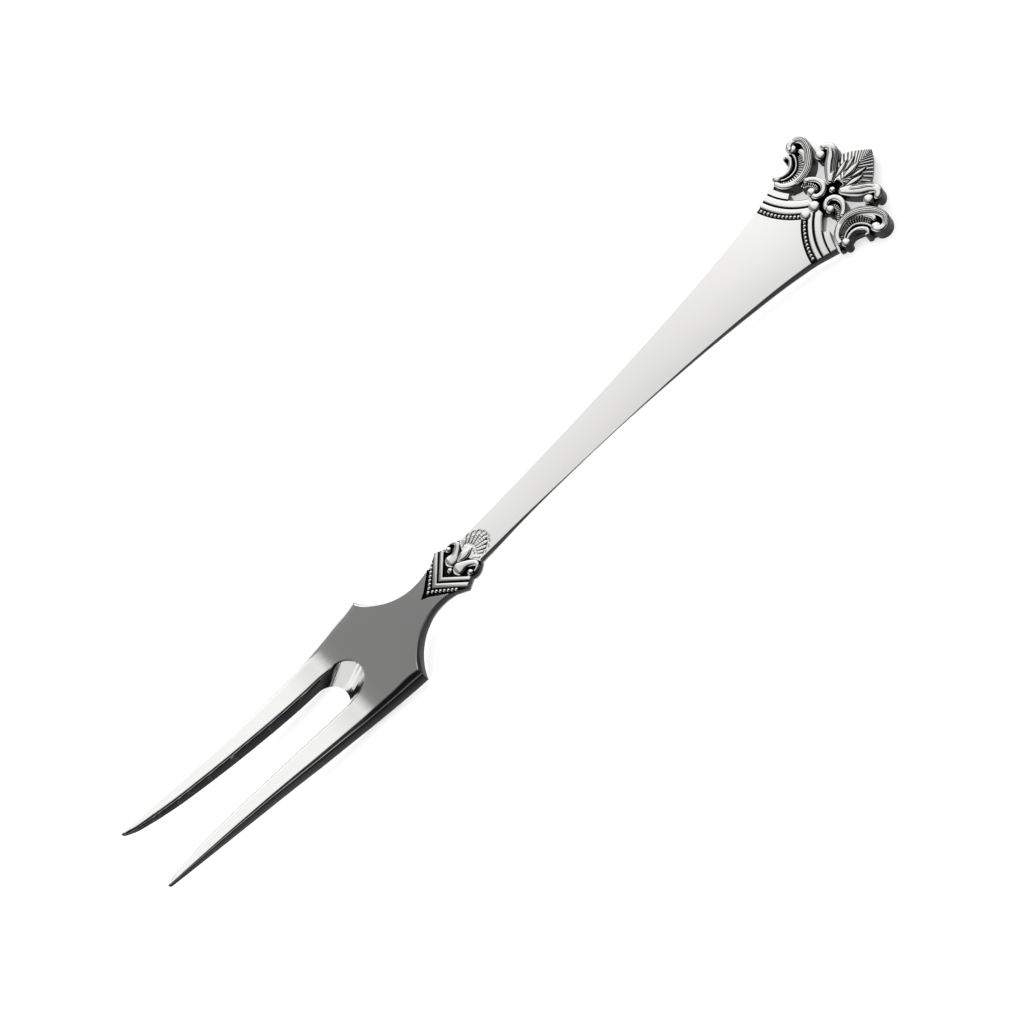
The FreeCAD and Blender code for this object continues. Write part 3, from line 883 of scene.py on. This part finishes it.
@dataclass
class Strand:
    """Raised scroll line with rounded or dished back, lines along it and ribs across it."""

    stations: Sequence[tuple[float, float, float]]
    crest: float = 2.6
    drop: float = 0.4
    low: float = 0.0
    rings: int = 72
    dished: bool = False
    lines: int = 0
    line_span: tuple[float, float] = (0.0, 1.0)
    line_edge: float = 0.98
    ribs: int = 0
    rib_span: tuple[float, float] = (0.0, 1.0)
    rib_depth: float = 0.12
    dark_below: float = 2.15
    blunt: bool = True
    tilt: float = 0.0
    flat: float = 4.0

    def line_cut(self, share: float, off: float) -> float:
        """How deep in a lengthwise line a place on the back is.

        Args:
            share: Share of the strand's length.
            off: Share off its middle, from -1 to 1.

        Returns:
            The depth, from 0 to 1.
        """
        if not self.lines or not -0.98 < off < self.line_edge:
            return 0.0
        start, end = self.line_span
        fade = smooth_step((share - start) * 8) * smooth_step((end - share) * 8)
        return fade * (0.5 + 0.5 * math.cos(math.pi * self.lines * (off + 1))) ** 4

    def rib_cut(self, share: float) -> float:
        """How deep between two ribs a place along the strand is.

        Args:
            share: Share of the strand's length.

        Returns:
            The depth, from 0 to 1.
        """
        if not self.ribs:
            return 0.0
        start, end = self.rib_span
        fade = smooth_step((share - start) * 12) * smooth_step((end - share) * 12)
        return fade * (0.5 + 0.5 * math.cos(2 * math.pi * self.ribs * share)) ** 4

    def back(self, share: float, off: float) -> float:
        """Height of the strand's back.

        Args:
            share: Share of the strand's length.
            off: Share off its middle, from -1 to 1.

        Returns:
            The height there.
        """
        fall = 1 - off * off if self.dished else abs(off) ** self.flat
        height = self.crest - self.drop * fall - self.tilt * (off + 1) / 2
        return height - 0.1 * self.line_cut(share, off) - self.rib_depth * self.rib_cut(share)

    def patina_and_low_shade(self, height: float) -> float:
        """Darkness at a height, the lower the darker: patina in the hollows and painted shade on the
        strand's low sides.
        """
        return smooth_step((self.dark_below + 0.3 - height) / 0.45)

    def shape(self, side: Side) -> bmesh.types.BMesh:
        """Sweeps the strand along its stations.

        Args:
            side: Which side of the fork it is on.

        Returns:
            The closed strand as a bmesh that the caller frees.
        """
        line = Line.through(self.stations)
        across_steps = 30 if self.lines else 18
        first, last = self.stations[0], self.stations[-1]
        length = sum(
            math.hypot(b[0] - a[0], b[1] - a[1]) for a, b in zip(self.stations, self.stations[1:])
        )
        rings: Rings = []
        darkness: list[list[float]] = []
        for index in range(self.rings + 1):
            share = index / self.rings
            x, y, width = line.at(share)
            before, after = line.at(share - 0.004), line.at(share + 0.004)
            along = Vector((after[0] - before[0], after[1] - before[1], 0)).normalized()
            normal = Vector((-along.y, along.x, 0))
            full = 1.0
            if self.blunt:
                nearest = min(share * length / (first[2] / 2), (1 - share) * length / (last[2] / 2))
                full = math.sqrt(max(0.0, 1 - (1 - min(1.0, nearest)) ** 2))
            reach = max(0.02, width / 2 * full)
            ring, dark = [], []
            for step in range(across_steps + 1):
                off = -math.cos(math.pi * step / across_steps)
                height = max(self.low + 0.05, self.back(share, off) - 0.3 * (1 - full))
                ring.append(Vector((x, y, height)) + normal * reach * off)
                hollow = self.back(share, off if self.dished else 0.0)
                # Darker between the ribs: patina and painted shade in the gaps
                between = min(0.75, 4 * self.rib_depth) * self.rib_cut(share)
                dark.append(max(self.patina_and_low_shade(min(height, hollow)), between, self.line_cut(share, off)))
            shoulder = ring[-1].z
            for off, shares in ((1, (0.6, 0.25, 0.0)), (-1, (0.0, 0.25, 0.6))):
                for share_up in shares:
                    height = self.low + (shoulder - self.low) * share_up
                    ring.append(Vector((x, y, height)) + normal * reach * off)
                    dark.append(self.patina_and_low_shade(height) if share_up else 0.0)
            rings.append([Vector((point.x, point.y * side.value, point.z)) for point in ring])
            darkness.append(dark)
        return skin(rings, lambda ring, spot: darkness[ring][spot])


@dataclass
class NeckCarving:
    """Beads and leaves that stand up from the neck's carving."""

    top: float = 3.68
    depth: float = 0.45
    bead_radius: float = 0.27
    beads: int = 8

    def build(self, finish: bpy.types.Material) -> bpy.types.Object:
        """Models the neck's ornament as one piece.

        Args:
            finish: Its silver.

        Returns:
            The piece.
        """
        piece = Piece("neck_carving", finish)
        floor = self.top - self.depth
        spots = [(61.1, 0.0)]
        for index in range(self.beads - 1):
            spots += [(61.68 + 0.49 * index, side.value * (0.43 + 0.46 * index)) for side in Side]
        for spot in spots:
            piece.add(dome(spot, self.bead_radius, floor - 0.2, floor + 0.46, 0.35))
        piece.add(dome((65.95, 0.0), 0.44, floor - 0.2, floor + 0.5, 0.25))
        low = floor - 0.3
        for side in Side:
            for strand in self.leaves(low) + self.fan():
                piece.add(strand.shape(side))
            piece.add(dome((68.1, side.value * 2.85), 0.5, low, self.top + 0.12, 0.3))
        for strand in self.almond(low):
            piece.add(strand.shape(Side.LEFT))
        rim = floor + 0.12
        piece.darken(lambda point: smooth_step((rim + 0.12 - point.z) / 0.2))
        return piece.finished()

    def leaves(self, low: float) -> list[Strand]:
        """Petals and curls beside the middle leaf.

        Args:
            low: Height of their foot.

        Returns:
            The strands of one side.
        """
        petal = (
            (66.1, 1.0, 1.7), (66.9, 1.02, 1.95), (67.7, 1.0, 1.85), (68.45, 1.3, 1.3), (69.15, 1.75, 1.1),
            (69.65, 2.3, 0.95), (69.65, 2.85, 0.7), (69.15, 3.2, 0.45), (68.6, 3.28, 0.35),
        )
        blade = ((69.8, 1.2, 0.35), (70.25, 1.5, 0.5), (70.7, 2.0, 0.55), (70.9, 2.3, 0.4))
        corner = ((66.9, 3.6, 0.5), (67.25, 3.3, 0.5), (67.65, 3.05, 0.4))
        return [
            Strand(
                stations, crest=self.top + rise, drop=drop, low=low, dark_below=0.0, rings=rings, flat=flat)
            for stations, rise, drop, rings, flat in (
                (petal, 0.17, 0.12, 120, 3.6), (blade, 0.12, 0.14, 40, 4.0), (corner, 0.04, 0.12, 40, 4.0))
        ]

    def fan(self) -> list[Strand]:
        """Small rounded petals that run out on to the handle.

        Returns:
            The strands of one side.
        """
        petals = []
        for start, end, width in FAN:
            middle = ((start[0] + end[0]) / 2, (start[1] + end[1]) / 2)
            petals.append(Strand(
                ((*start, 0.55 * width), (*middle, width), (*end, 0.85 * width)),
                crest=self.top + 0.04, drop=0.07, low=self.top - 0.4, dark_below=0.0, rings=36, flat=3.0,
                ribs=6, rib_span=(0.3, 1.0), rib_depth=0.012))
        return petals

    def almond(self, low: float) -> list[Strand]:
        """Pointed middle leaf with an inner contour.

        Args:
            low: Height of its foot.

        Returns:
            Its two strands, which lie on the middle plane.
        """
        outer = ((67.7, 0.1), (68.2, 0.9), (69.1, 1.6), (70.0, 1.35), (70.6, 0.7), (71.1, 0.1))
        inner = ((68.1, 0.1), (68.6, 0.7), (69.3, 1.0), (70.0, 0.75), (70.6, 0.1))
        return [
            Strand(
                [(x, 0, width) for x, width in widths],
                crest=self.top + rise, drop=drop, low=low, dark_below=0.0, blunt=False)
            for widths, rise, drop in ((outer, 0.2, 0.08), (inner, 0.27, 0.06))
        ]


@dataclass
class Crown:
    """Pierced end of the handle: paired scrolls, volutes, branches and a leaf."""

    floor: float = 1.4
    top: float = 2.75
    bead_radius: float = 0.27
    beads: int = 11
    bead_spacing: float = 0.05

    def scrolls(self) -> list[Strand]:
        """Scrolls, volutes, hooks and branches.

        Returns:
            The strands of one side.
        """
        return [
            Strand(
                ((145.6, 8.3, 0.85), (146.05, 6.9, 1.1), (147.2, 5.9, 1.25), (149.1, 5.45, 1.3),
                 (150.9, 5.95, 1.55), (152.4, 7.2, 1.6), (153.4, 8.8, 1.35), (153.6, 10.1, 1.25),
                 (153.0, 11.05, 1.2), (152.05, 11.3, 1.2), (151.3, 10.85, 1.2), (151.1, 10.1, 1.0)),
                crest=2.8, drop=0.22, rings=280, lines=5, line_span=(0.2, 0.9), line_edge=0.5),
            Strand(
                ((146.4, 7.75, 0.9), (147.0, 6.95, 1.0), (148.0, 6.6, 1.05), (149.3, 6.65, 1.1),
                 (150.5, 7.3, 1.2), (151.3, 8.3, 1.0), (151.6, 9.0, 0.8)),
                crest=2.5, drop=0.06, tilt=0.3, rings=260, ribs=17, rib_depth=0.2, dark_below=1.65),
            Strand(
                ((146.55, 8.05, 0.3), (147.2, 7.5, 0.3), (148.3, 7.18, 0.32), (149.5, 7.38, 0.32),
                 (150.5, 8.3, 0.32), (150.95, 9.3, 0.3), (151.0, 10.0, 0.3)),
                crest=2.5, drop=0.08, rings=80, dark_below=1.6),
            Strand(
                ((146.6, 8.5, 0.5), (147.6, 8.05, 0.6), (148.8, 8.1, 0.7), (149.75, 8.75, 0.72),
                 (150.2, 9.6, 0.65), (149.85, 10.25, 0.55), (149.3, 9.95, 0.45)),
                crest=2.65, drop=0.2, rings=90, dark_below=1.6),
            Strand(
                ((151.3, 7.2, 0.45), (151.95, 7.9, 0.8), (152.3, 8.7, 0.9), (152.05, 9.5, 0.7)),
                crest=2.62, drop=0.18, rings=60, dark_below=1.6),
            Strand(
                ((148.3, 2.0, 0.8), (148.5, 1.25, 0.9), (149.3, 0.82, 0.95), (150.2, 1.1, 1.0),
                 (150.75, 2.0, 1.0), (150.65, 3.1, 0.95), (149.95, 4.1, 0.95), (148.9, 4.75, 1.0)),
                crest=2.72, drop=0.16, rings=90),
            Strand(
                ((149.3, 1.8, 0.5), (149.55, 2.4, 0.7), (149.4, 3.2, 0.85), (148.8, 3.9, 0.95),
                 (148.0, 4.5, 0.95)),
                crest=2.4, drop=0.18, rings=140, dished=True, ribs=11, rib_depth=0.24, dark_below=1.75),
            Strand(
                ((151.55, 1.0, 1.1), (152.6, 2.1, 1.8), (154.05, 3.55, 2.2), (155.4, 4.7, 2.0),
                 (155.9, 5.8, 1.5), (155.35, 6.6, 1.3), (154.55, 6.6, 1.2)),
                crest=2.72, drop=0.26, rings=170, lines=9, line_span=(0.16, 0.78), line_edge=0.05),
        ]

    def grounds(self) -> list[list[Place]]:
        """Sunk grounds between the scrolls.

        Returns:
            The outlines of one side.
        """
        steps = 8
        lower = [(145.4 + 3.9 * i / steps, 8.6 - 0.55 * math.sin(math.pi * i / steps) + 0.3 * i / steps)
                 for i in range(steps + 1)]
        upper = [
            (150.3, 10.5), (151.4, 11.0), (153.4, 11.2), (153.75, 9.6), (153.6, 8.4), (152.7, 7.0),
            (151.6, 6.2), (149.8, 5.2), (146.6, 5.4), (145.4, 7.4), (144.9, 8.35),
        ]
        volute = [
            (146.8, 0.0), (146.8, 1.4), (147.7, 1.7), (148.5, 3.3), (148.1, 5.3), (150.0, 5.3), (150.7, 3.4),
            (150.9, 2.2), (152.3, 1.0), (154.2, 0.0),
        ]
        curl = [(153.0, 5.6), (153.4, 6.6), (155.5, 6.6), (155.9, 4.6), (154.2, 4.4)]
        return [lower + upper, volute, curl]

    def balls(self) -> list[tuple[Place, float, float]]:
        """Balls at the ends of the scrolls.

        Returns:
            Place, radius and crest of each ball of one side.
        """
        return [
            ((146.4, 8.55), 0.72, 2.7), ((148.55, 2.35), 0.68, 2.76), ((153.8, 5.95), 0.82, 2.76),
            ((151.4, 10.4), 0.8, 2.72),
        ]

    def dark(self, point: Vector) -> float:
        """Darkness by height, the lower the darker, but for the back: patina in the sunk grounds and painted
        shade on the low sides of balls and grounds.
        """
        return smooth_step((2.0 - point.z) / 0.4) if point.z > 0.05 else 0.0

    def build(self, finish: bpy.types.Material) -> list[bpy.types.Object]:
        """Models the crown as its scrolls, its beads and its leaf.

        Args:
            finish: Its silver.

        Returns:
            The pieces.
        """
        scrolls = Piece("crown_scrolls", finish)
        hook_hole = [(152.4, 10.15), (153.45, 10.25), (153.5, 9.3)]
        for side in Side:
            for strand in self.scrolls():
                scrolls.add(strand.shape(side))
        beads = Piece("crown_beads", finish)
        for side in Side:
            for outline in self.grounds():
                ground = slab([(x, side.value * y) for x, y in outline], 0.0, self.floor)
                hole = slab([(x, side.value * y) for x, y in hook_hole], -1.0, 3.0)
                beads.add(carved(ground, [hole]))
            for (x, y), radius, crest in self.balls():
                beads.add(dome((x, side.value * y), radius, 0.0, crest, 0.18))
            for index in range(self.beads):
                angle = math.radians(45.0) - index * self.bead_spacing
                x = ARC_CENTRE[0] - ARC_BEADS * math.cos(angle)
                y = ARC_CENTRE[1] - ARC_BEADS * math.sin(angle)
                crest = self.top - 0.004 * y * y
                beads.add(dome((x, side.value * y), self.bead_radius, crest - 0.65, crest + 0.02, 0.35))
        beads.add(dome((145.25, 0), 0.84, 1.0, 3.02, 0.15))
        beads.add(dome((147.15, 0), 0.92, 0.0, 3.02, 0.15))
        beads.add(dome((151.1, 0), 0.5, 0.0, 2.6, 0.25))
        beads.darken(self.dark)
        return [scrolls.finished(), beads.finished(), self.leaf(finish)]

    @staticmethod
    def vein(x: float, y: float) -> float:
        """How deep in a vein a place on the leaf is.

        Args:
            x: Place along the fork, from the tips.
            y: Side distance.

        Returns:
            The depth, from 0 to 1.
        """
        foot = x - abs(y)
        for _ in range(8):
            angle = math.radians(min(62.0, max(20.0, 50 - 6.2 * (foot - 154))))
            foot = 0.5 * foot + 0.5 * (x - abs(y) / math.tan(angle))
        wave = 0.5 + 0.5 * math.cos(2 * math.pi * foot / 0.62)
        return wave ** 3 * smooth_step((foot - 152.6) / 0.6)

    def leaflets(self) -> list[tuple[Place, Place, float]]:
        """Leaflets laid on the leaf.

        Returns:
            Start, end and half width of each on one side.
        """
        return [
            ((153.6, 0.0), (157.2, 0.0), 0.46), ((152.9, 1.2), (156.0, 2.0), 0.42),
            ((154.6, 0.8), (157.3, 1.45), 0.32),
        ]

    def outline_round(self, x: float, y: float) -> float:
        """How far a place on the leaf is into the dark line round a leaflet.

        Args:
            x: Place along the fork, from the tips.
            y: Side distance.

        Returns:
            The share, from 0 to 1.
        """
        deepest = 0.0
        for start, end, half in self.leaflets():
            run = (end[0] - start[0], end[1] - start[1])
            length = math.hypot(*run)
            along = ((x - start[0]) * run[0] + (abs(y) - start[1]) * run[1]) / length
            off = abs((x - start[0]) * run[1] - (abs(y) - start[1]) * run[0]) / length
            if -0.1 < along < length + 0.1:
                edge = half * math.sin(math.pi * min(1.0, max(0.0, along / length)))
                deepest = max(deepest, smooth_step((edge + 0.17 - off) / 0.12))
        return deepest

    def leaf(self, finish: bpy.types.Material) -> bpy.types.Object:
        """Leaf finial with a low roof over its middle, veins slanting out and leaflets laid on it.

        Args:
            finish: Its silver.

        Returns:
            The piece.
        """
        halves = Line(
            (152.0, 153.2, 154.6, 155.8, 156.6, 157.3, 158.1, 158.9, 159.5, 160.0),
            [(half,) for half in (1.0, 1.8, 2.75, 3.3, 3.45, 3.0, 2.25, 1.4, 0.7, 0.04)],
        )
        rings: Rings = []
        darkness: list[list[float]] = []
        along_steps, across_steps = 170, 84
        foot, length = 152.0, 8.0
        for ring_index in range(along_steps + 1):
            x = foot + length * ring_index / along_steps
            half = halves.at(x)[0]
            ring, dark = [], []
            for step in range(across_steps + 1):
                y = half * (2 * step / across_steps - 1)
                vein = self.vein(x, y)
                sunk = self.outline_round(x, y)
                notch = smooth_step((153.1 - x) / 0.7) * smooth_step((0.8 - abs(y)) / 0.4)
                height = 2.62 - 0.2 * abs(y) - 0.1 * max(vein, sunk) - 0.7 * notch
                ring.append(Vector((x, y, height)))
                dark.append(min(1.0, max(0.85 * vein, 0.95 * sunk) + notch))
            below = [
                Vector((foot + 0.93 * (point.x - foot), 0.85 * point.y, 0.0)) for point in reversed(ring)
            ]
            rings.append(ring + below)
            darkness.append(dark + [0.0] * len(below))
        piece = Piece("crown_leaf", finish)
        piece.add(skin(rings, lambda ring, spot: darkness[ring][spot]))
        for start, end, half in self.leaflets():
            stations = []
            for share, width in ((0.0, 0.08), (0.2, 0.62), (0.5, 1.0), (0.8, 0.62), (1.0, 0.08)):
                stations.append((
                    start[0] + (end[0] - start[0]) * share,
                    start[1] + (end[1] - start[1]) * share,
                    2 * half * width,
                ))
            crest = 2.74 - 0.16 * end[1]
            for side in Side if start[1] else (Side.LEFT,):
                leaflet = Strand(
                    stations, crest=crest, drop=0.14, low=1.5, dark_below=0.0, blunt=False, rings=40)
                piece.add(leaflet.shape(side))
        return piece.finished()


@dataclass
class Studio:
    """Pale floor, soft light and the camera."""

    distance: float = 1.0
    lens: float = 223.0
    roll: float = 45.29
    aim: tuple[float, float, float] = (-0.00057, -0.00021, 0.003)
    floor_half: float = 60.0

    def floor(self) -> None:
        """Lays the pale floor, which isn't part of the fork."""
        bm = bmesh.new()
        bmesh.ops.create_grid(bm, x_segments=1, y_segments=1, size=self.floor_half)
        made = loose_object("floor", bm)
        paint = bpy.data.materials.new("pale_floor")
        paint.use_nodes = True
        shader = paint.node_tree.nodes["Principled BSDF"]
        shader.inputs["Base Color"].default_value = (0.94, 0.94, 0.94, 1)
        shader.inputs["Roughness"].default_value = 0.9
        shader.inputs["Specular IOR Level"].default_value = 0.0
        made.data.materials.append(paint)

    def lights(self) -> None:
        """Sets up an even overhead light for the floor, and the surround that the silver mirrors."""
        for name, share, shadow in (("overhead", 0.12, True), ("overhead_fill", 0.88, False)):
            lamp = bpy.data.lights.new(name, "SUN")
            lamp.angle = math.radians(100)
            lamp.energy = math.pi * 0.93 * share
            lamp.use_shadow = shadow
            made = bpy.data.objects.new(name, lamp)
            made.visible_glossy = False
            bpy.context.scene.collection.objects.link(made)
        bpy.context.scene.world = self.surround()

    def surround(self) -> bpy.types.World:
        """Studio dome: a white screen beyond the fork, with a grey one beside it, and dark elsewhere.

        Returns:
            The world.
        """
        world = bpy.data.worlds.new("surround")
        world.use_nodes = True
        graph = Graph(world.node_tree)
        look = graph.add("TexCoord")
        parts = graph.add("SeparateXYZ", {"Vector": look.outputs["Generated"]}).outputs

        lean = graph.calc("ARCTAN2", parts["Y"], parts["Z"])
        share = graph.calc("MULTIPLY_ADD", lean, 1 / math.pi, 0.5)
        screen = graph.ramp(share, (
            (0.0, 0.6), (0.18, 0.6), (0.25, 0.03), (0.56, 0.025), (0.605, 0.5), (0.64, 0.74), (0.667, 0.86),
            (0.7, 0.93), (0.77, 1.0), (0.94, 1.0), (1.0, 0.8),
        ))
        off_y = graph.calc("POWER", parts["Y"], 2.0)
        off_z = graph.calc("POWER", parts["Z"], 2.0)
        reach = graph.calc("SQRT", graph.calc("ADD", off_y, off_z))
        bearing = graph.calc("DIVIDE", parts["X"], reach)
        across = graph.calc("MULTIPLY_ADD", bearing, 0.25, 0.5)
        sides = graph.ramp(across, (
            (0.0, 0.95), (0.27, 0.95), (0.33, 0.5), (0.4, 0.28), (0.4885, 0.24), (0.4935, 0.98), (0.5, 1.07),
            (0.51, 0.92), (0.516, 0.96), (0.53, 1.14), (0.6, 1.14), (0.8, 1.05), (1.0, 0.6),
        ))
        above = graph.ramp(share, ((0.0, 0.0), (0.27, 0.0), (0.33, 1.0), (1.0, 1.0)))
        beyond = graph.ramp(across, ((0.0, 0.75), (0.33, 0.75), (0.37, 0.0), (1.0, 0.0)))
        level = graph.calc(
            "MAXIMUM", graph.calc("MULTIPLY", screen, sides), graph.calc("MULTIPLY", above, beyond)
        )
        background = world.node_tree.nodes["Background"]
        graph.feed(background.inputs["Strength"], level)
        graph.feed(background.inputs["Color"], (1, 1, 1, 1))
        return world

    def camera(self) -> None:
        """Aims the camera as the photograph was taken."""
        turn = math.radians(self.roll)
        back = Vector((0, -0.5, math.sqrt(0.75)))
        level = Vector((1, 0, 0))
        upright = Vector((0, math.sqrt(0.75), 0.5))
        right = level * math.cos(turn) - upright * math.sin(turn)
        up = level * math.sin(turn) + upright * math.cos(turn)
        lens = bpy.data.cameras.new("camera")
        lens.lens = self.lens
        lens.clip_start = 0.05
        made = bpy.data.objects.new("camera", lens)
        made.location = Vector(self.aim) + back * self.distance
        made.rotation_mode = "QUATERNION"
        made.rotation_quaternion = Matrix((right, up, back)).transposed().to_quaternion()
        bpy.context.scene.collection.objects.link(made)
        bpy.context.scene.camera = made

    def build(self) -> None:
        """Sets the stage."""
        self.floor()
        self.lights()
        self.camera()
        bpy.context.scene.view_settings.view_transform = "Standard"


def main() -> None:
    """Builds the fork's pieces and the stage."""
    logging.basicConfig(level=logging.INFO, format="%(message)s")
    polished = Silver("polished_silver", roughness=0.11, scratch=0.15).material()
    cast = Silver("carved_silver", roughness=0.14, scratch=0.4).material()
    pieces = [ForkBody().build(polished), NeckCarving().build(cast), *Crown().build(cast)]
    LOG.info("%d pieces", len(pieces))
    Studio().build()


if __name__ == "__main__":
    main()
